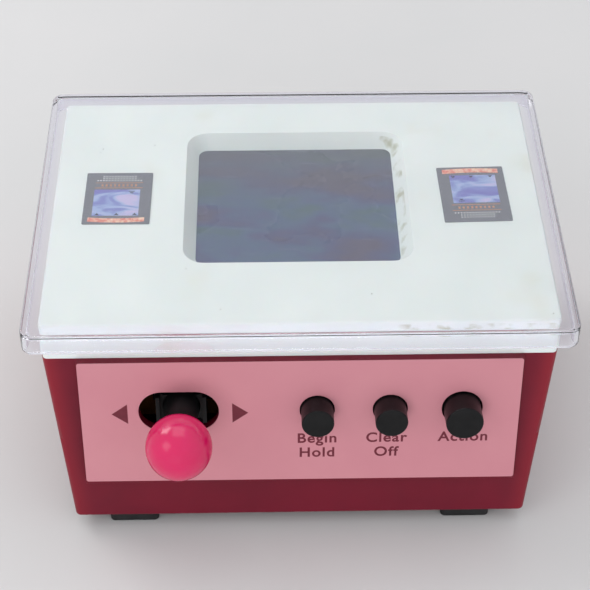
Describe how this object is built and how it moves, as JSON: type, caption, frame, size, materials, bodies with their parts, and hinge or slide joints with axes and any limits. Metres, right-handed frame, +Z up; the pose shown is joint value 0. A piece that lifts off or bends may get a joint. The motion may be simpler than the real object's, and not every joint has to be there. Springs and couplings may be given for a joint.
{
  "type": "pocket cocktail-table video game",
  "caption": "Small toy game shaped like a cocktail-table arcade machine: tapered tub, clear-covered display tray, two-way ball stick and push buttons on a leaning front.",
  "frame": {"origin": "centre of the object's box, front to back and side to side, at the underside of its feet", "axes": "+X to the player's right, +Y away from the player, +Z up"},
  "size_m": [0.1098, 0.096, 0.054],
  "materials": {
    "red_abs": "moulded, satin",
    "white_abs": "moulded, satin",
    "clear_styrene": "clear, polished",
    "black_abs": "moulded, satin",
    "magenta_knob": "polished",
    "black_rubber": "matte",
    "steel_screw": "zinc plated",
    "printed_card": "printed, satin",
    "pink_label": "printed, satin",
    "polariser_film": "smooth film",
    "display_glass": "polished",
    "reflector_foil": "matt foil",
    "zebra_rubber": "layered",
    "phenolic_board": "paper laminate",
    "epoxy_blob": "poured epoxy",
    "capacitor_sleeve": "shrink sleeve",
    "resistor_lacquer": "lacquered",
    "dome_silicone": "moulded silicone",
    "cell_jacket": "printed jacket",
    "buzzer_brass": "plain",
    "red_insulation": "extruded",
    "black_insulation": "extruded",
    "ribbon_pvc": "extruded"
  },
  "bodies": {
    "cabinet": {"body_shell": "red_abs", "base_plate": "red_abs", "foot_front_left": "black_rubber", "foot_front_right": "black_rubber", "foot_back_left": "black_rubber", "foot_back_right": "black_rubber", "base_screws": "steel_screw", "tray_screws": "steel_screw", "board_screws": "steel_screw", "switch_board_screws": "steel_screw", "top_tray": "white_abs", "clear_cover": "clear_styrene", "instruction_card_left": "printed_card", "instruction_card_right": "printed_card", "control_label": "pink_label", "lcd_polariser": "polariser_film", "lcd_glass": "display_glass", "lcd_reflector": "reflector_foil", "zebra_strip_front": "zebra_rubber", "zebra_strip_back": "zebra_rubber", "lcd_frame": "black_abs", "main_board": "phenolic_board", "chip_blob": "epoxy_blob", "can_capacitor": "capacitor_sleeve", "board_resistors": "resistor_lacquer", "crystal_can": "steel_screw", "switch_board": "phenolic_board", "start_dome": "dome_silicone", "reset_dome": "dome_silicone", "attack_dome": "dome_silicone", "left_dome": "dome_silicone", "right_dome": "dome_silicone", "stick_bracket": "black_abs", "pivot_pin": "steel_screw", "battery_front": "cell_jacket", "battery_back": "cell_jacket", "contact_plates": "steel_screw", "contact_spring_front": "steel_screw", "contact_spring_back": "steel_screw", "buzzer_disc": "buzzer_brass", "battery_lead_positive": "red_insulation", "battery_lead_negative": "black_insulation", "buzzer_lead_left": "black_insulation", "buzzer_lead_right": "red_insulation", "ribbon_cable": "ribbon_pvc"},
    "stick": {"stick_lever": "black_abs", "ball_knob": "magenta_knob"},
    "start_key": {"start_button": "black_abs"},
    "reset_key": {"reset_button": "black_abs"},
    "attack_key": {"attack_button": "black_abs"},
    "door": {"battery_door": "red_abs"}
  },
  "joints": [
    {"name": "stick_tilt", "type": "hinge", "parent": "cabinet", "child": "stick", "pos_m": [-0.0243, -0.02109, 0.03008], "axis": [0, 0.1938, 0.981], "range_deg": [-9, 9], "stiffness_Nm_per_rad": 0.03, "deforming": ["left_dome", "right_dome"]},
    {"name": "start_press", "type": "slide", "parent": "cabinet", "child": "start_key", "axis": [0, 0.981, -0.1938], "range_m": [0, 0.0012], "stiffness_N_per_m": 600, "deforming": ["start_dome"]},
    {"name": "reset_press", "type": "slide", "parent": "cabinet", "child": "reset_key", "axis": [0, 0.981, -0.1938], "range_m": [0, 0.0012], "stiffness_N_per_m": 600, "deforming": ["reset_dome"]},
    {"name": "attack_press", "type": "slide", "parent": "cabinet", "child": "attack_key", "axis": [0, 0.981, -0.1938], "range_m": [0, 0.0012], "stiffness_N_per_m": 600, "deforming": ["attack_dome"]},
    {"name": "battery_door_slide", "type": "slide", "parent": "cabinet", "child": "door", "axis": [0, 1, 0], "range_m": [0, 0.022]}
  ]
}
